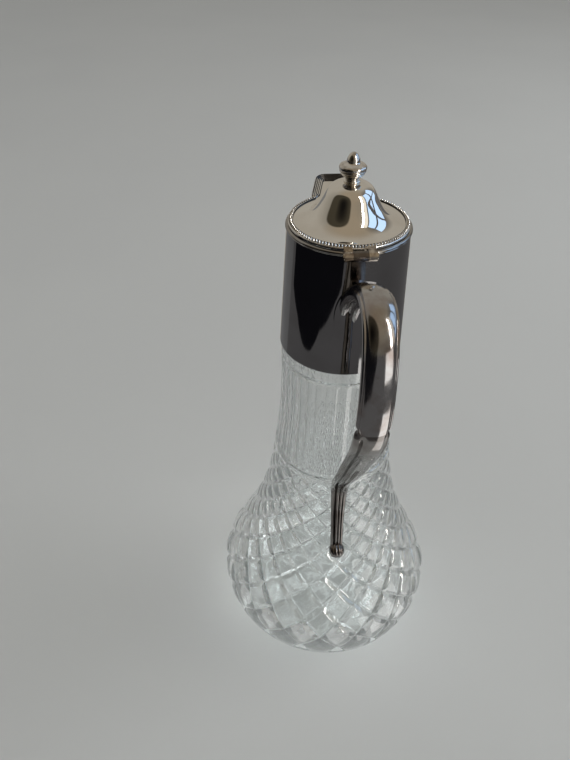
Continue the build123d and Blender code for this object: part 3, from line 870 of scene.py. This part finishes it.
def make_finial_base(material):
    outline = [(r, DOME_TOP_Z + up) for r, up in BASE_OUTLINE]
    piece("finial_foot_ring", *turned(outline), "lid", "silver_plate", material, ["finial_base"], 60.0)


# Handle

SLOPE_STEP = 0.002


def handle_frames(start, end, rows):
    """Points of the handle's line between two shares of it, with width and outward directions."""
    line = smooth_curve(HANDLE_LINE)
    share = np.linspace(start, end, rows)
    middle = line(share)
    ahead = unit(line(np.minimum(share + SLOPE_STEP, 1)) - line(np.maximum(share - SLOPE_STEP, 0)))
    side = np.tile((0.0, 1.0, 0.0), (rows, 1))
    side = unit(side - ahead * (side * ahead).sum(axis=1)[:, None])
    return middle, side, np.cross(side, ahead)


def sections_along(sections, rows):
    """Each row's share of its part's length, and half sizes across and over, as columns."""
    along = np.linspace(0, 1, rows)[:, None]
    shares, widths, thicknesses = np.array(sections).T
    return along, np.interp(along, shares, widths) / 2, np.interp(along, shares, thicknesses) / 2


def dent(value, centre, width):
    """A smooth bump of height 1 round a centre."""
    return np.exp(-(((value - centre) / width) ** 2))


def swept(middle, side, out, across, over):
    """Points of a sweep, from each section's distances across and over."""
    return middle[:, None] + side[:, None] * across[..., None] + out[:, None] * over[..., None]


def capped(rows):
    """Faces of a sweep of closed sections, with both ends closed."""
    ends = [tuple(start + i for i in range(SECTION_POINTS)) for start in (0, (rows - 1) * SECTION_POINTS)]
    return grid_faces(rows, SECTION_POINTS, wrap_columns=True) + ends


SECTION_POINTS = 64
SECTION_TURN = even_turn(SECTION_POINTS)[None]
# Hollows and reeds in the handle: middle and width as shares of its half width, and depth
RIB_HOLLOW = (0.84, 0.06, 0.36)
ROOT_FLUTE = (0.42, 0.24, 0.55)
ROOT_LOBE = (0.42, 0.2, 0.12)
LEAF_VALLEY = (0.56, 0.10, 0.55)
LEAF_VALLEY_SHIFT = 0.10
LEAF_BEAD = (-0.80, 0.07, 0.40)
LEAF_GROOVE = (0.0, 0.08, 0.34)
LEAF_REED = (-0.48, 0.10, 0.34)
# Where each comes in or goes out, from and to, as shares of its part's length
RIB_IN = (0.0, 0.12)
FLUTE_IN = (0.03, 0.06)
FLUTE_OUT = (0.22, 0.42)
LOBE_OUT = (0.0, 0.05)
VALLEY_IN = (0.0, 0.05)
VALLEY_SHIFTS = (0.45, 0.75)
LEAF_BEAD_OUT = (0.18, 0.36)
GROOVE_IN = (0.28, 0.36)
REED_IN = (0.55, 0.72)
# The nick at the joint of the two parts, which cuts only the section's edges
NICK_DEPTH = 0.17
NICK_EDGE = 6
UPPER_NICK_WIDTH = 0.016
LOWER_NICK_WIDTH = 0.014
ROOT_TAPER = 0.10
ROOT_TAPER_OUT = (0.0, 0.02)


def hollow(value, shape, shift=0.0):
    """A smooth bump of a shape's middle, width and height."""
    middle, width, height = shape
    return height * dent(value, middle - shift, width)


def make_handle_upper(material):
    rows = 150
    middle, side, out = handle_frames(0.0, HANDLE_STEP, rows)
    along, half_width, half_thickness = sections_along(UPPER_SECTIONS, rows)
    across, over = np.cos(SECTION_TURN), np.sin(SECTION_TURN)
    edge = np.abs(across)
    outer = over > 0
    # The outer face is a rounded rib between two thin side beads
    rib = 1 - hollow(edge, RIB_HOLLOW) * ease(*RIB_IN, along)
    # The inner face has two flutes at the root, which end above two lobes
    flutes = ease(*FLUTE_IN, along) * (1 - ease(*FLUTE_OUT, along))
    lobes = 1 - ease(*LOBE_OUT, along)
    fluted = 1 - flutes * hollow(edge, ROOT_FLUTE) + lobes * hollow(edge, ROOT_LOBE)
    over = over * np.where(outer, rib, fluted)
    nick = NICK_DEPTH * dent(along, 1.0, UPPER_NICK_WIDTH) * edge**NICK_EDGE
    notch = 1 - nick - ROOT_TAPER * (1 - ease(*ROOT_TAPER_OUT, along))
    shape = swept(middle, side, out, across * half_width * notch, over * half_thickness)
    faces = capped(rows)
    piece("handle_grip", shape, faces, "jug", "silver_plate", material, ["handle_upper"], 50.0)


def make_handle_lower(material):
    rows = 190
    middle, side, out = handle_frames(HANDLE_STEP, 1.0, rows)
    along, half_width, half_thickness = sections_along(LOWER_SECTIONS, rows)
    across, over = np.cos(SECTION_TURN), np.sin(SECTION_TURN)
    outer = over > 0
    # A valley runs down the +Y side of a leaf, whose other edge is beaded and whose middle is grooved
    shift = LEAF_VALLEY_SHIFT * ease(*VALLEY_SHIFTS, along)
    valley = ease(*VALLEY_IN, along) * hollow(across, LEAF_VALLEY, shift)
    bead = (1 - ease(*LEAF_BEAD_OUT, along)) * hollow(across, LEAF_BEAD)
    groove = ease(*GROOVE_IN, along) * hollow(across, LEAF_GROOVE)
    reed = ease(*REED_IN, along) * hollow(across, LEAF_REED)
    over = over * np.where(outer, 1 - valley - bead - groove - reed, 1.0)
    notch = 1 - NICK_DEPTH * dent(along, 0.0, LOWER_NICK_WIDTH) * np.abs(across) ** NICK_EDGE
    shape = swept(middle, side, out, across * half_width * notch, over * half_thickness)
    scroll_points, scroll_faces = make_scroll(middle[-1], rows * SECTION_POINTS)
    points = np.concatenate([shape.reshape(-1, 3), scroll_points])
    faces = capped(rows) + scroll_faces
    piece("handle_tail", points, faces, "jug", "silver_plate", material, ["handle_lower"], 50.0)


SCROLL_RADIUS = 4.2
SCROLL_WIDTH = 7.9
SCROLL_SET_OUT = 1.7
SCROLL_REEDS = (-0.45, 0.0, 0.45)
SCROLL_REED_WIDTH = 0.09
SCROLL_REED_DEPTH = 0.09
SCROLL_SQUARENESS = 2.6


def make_scroll(end, base):
    """The reeded roll at the handle's tip."""
    rows, columns = 41, 56
    half = SCROLL_WIDTH / 2
    across = np.linspace(-1, 1, rows)
    barrel = np.sqrt(np.clip(1 - np.abs(across) ** SCROLL_SQUARENESS, 0, 1))
    reeds = 1 - SCROLL_REED_DEPTH * sum(dent(across, reed, SCROLL_REED_WIDTH) for reed in SCROLL_REEDS)
    radius = SCROLL_RADIUS * barrel * reeds
    turn = even_turn(columns)
    x = end[0] - SCROLL_SET_OUT + radius[:, None] * np.cos(turn)
    y = end[1] + (across * half)[:, None] + 0 * turn
    z = end[2] + radius[:, None] * np.sin(turn)
    return np.stack([x, y, z], axis=2).reshape(-1, 3), grid_faces(rows, columns, wrap_columns=True, base=base)


# Stage

def card(name, corners, colour, strength):
    """A glowing or dark sheet that only reflections and glass see."""
    material, tree = new_material(name)
    glow = add_node(tree, "Emission", Color=colour, Strength=strength)
    finish_material(tree, glow.outputs[0])
    made = new_mesh(name, np.array(corners) / MM, [tuple(range(len(corners)))])
    made.data.materials.append(material)
    made.visible_camera = False
    made.visible_diffuse = False
    made.visible_shadow = False
    return made


LAMP_TARGET = (0, 0, 0.1)


def area_light(name, place, size, power, colour):
    data = bpy.data.lights.new(name, "AREA")
    data.shape = "RECTANGLE"
    data.size, data.size_y = size
    data.energy = power
    data.color = colour
    made = new_object(name, data)
    made.location = place
    made.rotation_euler = (Vector(LAMP_TARGET) - Vector(place)).to_track_quat("-Z", "Y").to_euler()
    made.visible_glossy = False
    made.visible_transmission = False
    made.visible_camera = False


# The painted glow of gathered light under the jug: the size of its web, its strength, its line width and
# where it fades
GATHERED_SCALE = 75.0
PAINTED_CAUSTIC_GLOW = 0.30
GATHERED_LINE = 0.09
GATHERED_REACH = (0.07, 0.14)
FLOOR_REACH = 6000.0
FLOOR_Z = -0.05


def make_floor():
    material, tree = new_material("pale_floor")
    grain = noise(tree, 3.0, 4.0)
    shade = mix_colours(tree, grain, (0.60, 0.605, 0.60, 1.0), (0.64, 0.645, 0.635, 1.0))
    matt = {"Roughness": 0.9, "Specular_IOR_Level": 0.05}
    shader = principled(tree, Base_Color=shade, **matt)
    # A painted glow of the light that the glass gathers under the jug, as the glass shows it
    place = add_node(tree, "TexCoord").outputs["Object"]
    edges = {"feature": "DISTANCE_TO_EDGE"}
    web = add_node(tree, "TexVoronoi", edges, Vector=place, Scale=GATHERED_SCALE)
    lines = remap(tree, web.outputs["Distance"], 0.0, GATHERED_LINE, PAINTED_CAUSTIC_GLOW, 0.0)
    middle = add_node(tree, "VectorMath", {"operation": "LENGTH"}, _0=place).outputs["Value"]
    near = remap(tree, middle, *GATHERED_REACH, 1.0, 0.0)
    through = add_node(tree, "LightPath").outputs["Is Transmission Ray"]
    strength = calculate(tree, "MULTIPLY", calculate(tree, "MULTIPLY", near, through), lines)
    glow = add_node(tree, "Emission", Color=(0.95, 1.0, 1.0, 1.0), Strength=strength)
    lit = add_node(tree, "AddShader", _0=shader, _1=glow.outputs[0])
    finish_material(tree, lit.outputs[0])
    corners = [(x * FLOOR_REACH, y * FLOOR_REACH, FLOOR_Z) for x, y in ((-1, -1), (1, -1), (1, 1), (-1, 1))]
    floor = new_mesh("floor", corners, [(0, 1, 2, 3)])
    floor.data.materials.append(material)


# What the glass sees behind it, and what the camera and the lit floor see
BEHIND_GLASS = (0.52, 0.54, 0.54, 1)
BEHIND_GLASS_SHARE = 0.85
BACKDROP = (0.39, 0.39, 0.38, 1)
# The room that reflections and glass see, and its soft patches: azimuth and elevation of the
# middle, how far the full colour and its soft edge reach, all in degrees, and the colour
ROOM_COLOUR = (0.21, 0.195, 0.165, 1)
ROOM = [
    (0.0, 30.0, 45.0, 85.0, (0.37, 0.345, 0.30, 1)),
    (180.0, 60.0, 25.0, 60.0, (0.30, 0.25, 0.185, 1)),
    (-90.0, 12.0, 28.0, 50.0, (0.09, 0.085, 0.08, 1)),
    (130.0, 14.0, 40.5, 45.0, (0.050, 0.043, 0.030, 1)),
    (140.0, 22.0, 6.0, 25.0, (0.008, 0.007, 0.006, 1)),
]


def direction(azimuth, elevation):
    """A unit vector at an azimuth and elevation in degrees."""
    a, e = math.radians(azimuth), math.radians(elevation)
    return (math.cos(a) * math.cos(e), math.sin(a) * math.cos(e), math.sin(e))


def make_world():
    """Even pale light for the floor and the backdrop, and a room for reflections and glass."""
    world = bpy.data.worlds.new("studio")
    bpy.context.scene.world = world
    world.use_nodes = True
    tree = world.node_tree
    tree.nodes.clear()
    way = add_node(tree, "TexCoord").outputs["Generated"]
    room = ROOM_COLOUR
    for azimuth, elevation, full, edge, colour in ROOM:
        towards = direction(azimuth, elevation)
        facing = add_node(tree, "VectorMath", {"operation": "DOT_PRODUCT"}, _0=way, _1=towards)
        near, far = math.cos(math.radians(full)), math.cos(math.radians(edge))
        share = remap(tree, facing.outputs["Value"], far, near, 0.0, 1.0)
        room = mix_colours(tree, share, room, colour)
    path = add_node(tree, "LightPath")
    even = calculate(tree, "MAXIMUM", path.outputs["Is Camera Ray"], path.outputs["Is Diffuse Ray"])
    bright = mix_colours(tree, BEHIND_GLASS_SHARE, room, BEHIND_GLASS)
    through = mix_colours(tree, path.outputs["Is Transmission Ray"], room, bright)
    seen = mix_colours(tree, even, through, BACKDROP)
    background = add_node(tree, "Background", Color=seen, Strength=1.0)
    add_node(tree, "OutputWorld", Surface=background.outputs[0])


def make_camera():
    data = bpy.data.cameras.new("camera")
    data.sensor_width = SENSOR
    data.lens = CAMERA_LENS
    data.clip_start = 0.01
    data.clip_end = 50.0
    camera = new_object("camera", data)
    way = Vector(direction(CAMERA_HEADING, -CAMERA_PITCH))
    camera.location = CAMERA_PLACE
    roll = Quaternion((0, 0, 1), math.radians(CAMERA_ROLL))
    camera.rotation_euler = (way.to_track_quat("-Z", "Y") @ roll).to_euler()
    bpy.context.scene.camera = camera


PANE_DISTANCE = 2.0
LID_HEIGHT = 0.27


def pane(name, left, right, low, high, colour, strength):
    """A glowing sheet that the lid sees between two azimuths and two elevations."""
    corners = []
    for azimuth, elevation in ((left, low), (right, low), (right, high), (left, high)):
        x, y, z = direction(azimuth, elevation)
        corners.append((PANE_DISTANCE * x, PANE_DISTANCE * y, LID_HEIGHT + PANE_DISTANCE * z))
    return card(name, corners, colour, strength)


def sector(left, right, near, far):
    """The outline, in metres, of a piece of the floor between two azimuths and two distances."""
    turn = np.radians(np.linspace(left, right, 30))
    outer = [(far * math.cos(a), far * math.sin(a)) for a in turn]
    return outer + [(near * math.cos(a), near * math.sin(a)) for a in turn[::-1]]


SKY = (0.50, 0.70, 1.0, 1.0)
# Azimuths from and to, elevations from and to, colour and strength
PANES = {
    "pane_low_left": (-84, -58, 2, 13, SKY, 1.35),
    "pane_low_right": (-116, -90, 2, 13, SKY, 1.35),
    "pane_high_left": (-84, -58, 17, 46, SKY, 1.35),
    "pane_high_right": (-116, -90, 17, 46, SKY, 1.35),
    "curtain": (-133, -120, 0, 50, (1.0, 0.94, 0.82, 1.0), 0.95),
    "lamp_strip": (-140, -135, 0, 50, (1.0, 0.97, 0.93, 1.0), 18.0),
}
# The panes that only the glass sees
GLASS_LIGHT = (0.93, 0.98, 1.0, 1.0)
GLASS_PANES = {
    "refracted_window": (-116, -58, 2, 50, GLASS_LIGHT, 6.0),
    "refracted_lamp": (172, 200, 12, 55, GLASS_LIGHT, 5.0),
    "refracted_door": (56, 76, 0, 40, GLASS_LIGHT, 4.0),
}
# What the silver mirrors of the floor, in two layers: outline in metres, colour and layer
FLOOR_FAR = 5.9
SUNLIT = (1.5, 1.47, 1.42, 1.0)
DARK_OUTLINE = [
    (0.19, 0.42), (0.05, 0.40), (-0.06, 0.35), (-0.16, 0.315), (-0.27, 0.30), (-0.43, 0.20),
    (-0.51, 0.13), (-1.6, 0.2), (-5.5, 0.8), (-5.5, 5.5), (2.5, 5.5),
]
FLOOR_CARDS = {
    "dim_floor": (sector(58, 330, 0.17, FLOOR_FAR), (0.125, 0.122, 0.122, 1.0), 0),
    "grey_floor": (sector(15, 58, 0.25, FLOOR_FAR), (0.19, 0.19, 0.19, 1.0), 0),
    "warm_floor": (sector(-30, 15, 0.25, FLOOR_FAR), (0.35, 0.325, 0.28, 1.0), 0),
    "bright_near": (sector(206, 240, 0.1, 0.35), SUNLIT, 1),
    "bright_far": (sector(202, 231, 0.62, FLOOR_FAR), SUNLIT, 1),
    "dark_floor": (DARK_OUTLINE, (0.008, 0.008, 0.01, 1.0), 1),
}
CARD_LIFT = 0.001


def make_lights():
    area_light("window_light", (0.1, -1.7, 1.2), (1.3, 1.2), 14.0, (0.93, 0.97, 1.0))
    area_light("room_light", (-0.6, 0.6, 2.2), (1.6, 1.6), 5.4, (1.0, 0.97, 0.92))
    for name, sheet in PANES.items():
        pane(name, *sheet)
    for name, sheet in GLASS_PANES.items():
        pane(name, *sheet).visible_glossy = False
    for name, (outline, colour, layer) in FLOOR_CARDS.items():
        made = card(name, [(x, y, CARD_LIFT) for x, y in outline], colour, 1.0)
        made.visible_transmission = False
        made.location = (0, 0, layer * CARD_LIFT)


# The metals: clean and stained colour, how far it is stained, roughness from and to, and the
# scale of the stains
METALS = {
    "collar_silver": ((0.36, 0.355, 0.36, 1), (0.27, 0.26, 0.255, 1), 0.5, 0.03, 0.06, 70.0),
    "lid_silver": ((0.90, 0.87, 0.82, 1), (0.70, 0.64, 0.56, 1), 0.4, 0.03, 0.08, 70.0),
    "handle_silver": ((0.50, 0.49, 0.485, 1), (0.33, 0.265, 0.235, 1), 0.8, 0.09, 0.20, 160.0),
    "bead_silver": ((0.97, 0.95, 0.92, 1), (0.80, 0.75, 0.68, 1), 0.4, 0.22, 0.36, 70.0),
    "rim_silver": ((0.42, 0.41, 0.40, 1), (0.28, 0.25, 0.22, 1), 0.7, 0.05, 0.12, 160.0),
    # Darker than the collar: tarnish with painted shade under the hinge
    "knuckle_tarnish_and_shade": ((0.20, 0.18, 0.165, 1), (0.10, 0.085, 0.075, 1), 0.7, 0.08, 0.2, 300.0),
    "tail_silver": ((0.27, 0.255, 0.245, 1), (0.15, 0.125, 0.11, 1), 0.9, 0.08, 0.20, 200.0),
    "hinge_silver": ((0.66, 0.60, 0.52, 1), (0.16, 0.12, 0.10, 1), 0.9, 0.08, 0.2, 420.0),
    "finial_silver": ((0.80, 0.77, 0.73, 1), (0.30, 0.26, 0.22, 1), 0.8, 0.04, 0.10, 300.0),
    # Near black: tarnish with painted shade, for the border's hollows and inner ridge
    "bed_tarnish_and_shade": ((0.06, 0.055, 0.05, 1), (0.03, 0.027, 0.024, 1), 0.8, 0.3, 0.5, 70.0),
    "brass": ((0.78, 0.58, 0.28, 1), (0.45, 0.30, 0.13, 1), 0.6, 0.15, 0.3, 70.0),
}

make_camera()
metal = {name: silver(name, *finish) for name, finish in METALS.items()}
jug_glass = clear_glass("jug_glass")
neck_plaster = plaster("neck_plaster")

make_glass(jug_glass)
make_collar(metal["collar_silver"])
make_rim(metal["rim_silver"])
make_spout(metal["collar_silver"])
make_lid(metal["lid_silver"])
make_beads(metal["bead_silver"], metal["bed_tarnish_and_shade"])
make_finial(metal["finial_silver"])
make_finial_base(metal["lid_silver"])
make_handle_upper(metal["handle_silver"])
make_handle_lower(metal["tail_silver"])

CAD_MATERIALS = {
    "neck_cement": neck_plaster,
    "mouth_ring": metal["collar_silver"],
    # The knuckle's plate is darkened with painted shade under the hinge
    "collar_hinge_knuckle": metal["knuckle_tarnish_and_shade"],
    "handle_mount_plate": metal["collar_silver"],
    "lid_hinge_lugs": metal["hinge_silver"],
    "hinge_pin": metal["hinge_silver"],
    "finial_stud": metal["brass"],
    "finial_washer": metal["brass"],
    "finial_nut": metal["brass"],
}
for node_name, node_material in CAD_MATERIALS.items():
    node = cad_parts[node_name]
    node.data.materials.clear()
    node.data.materials.append(node_material)

make_floor()
make_world()
make_lights()
bpy.context.scene.view_settings.view_transform = "Standard"
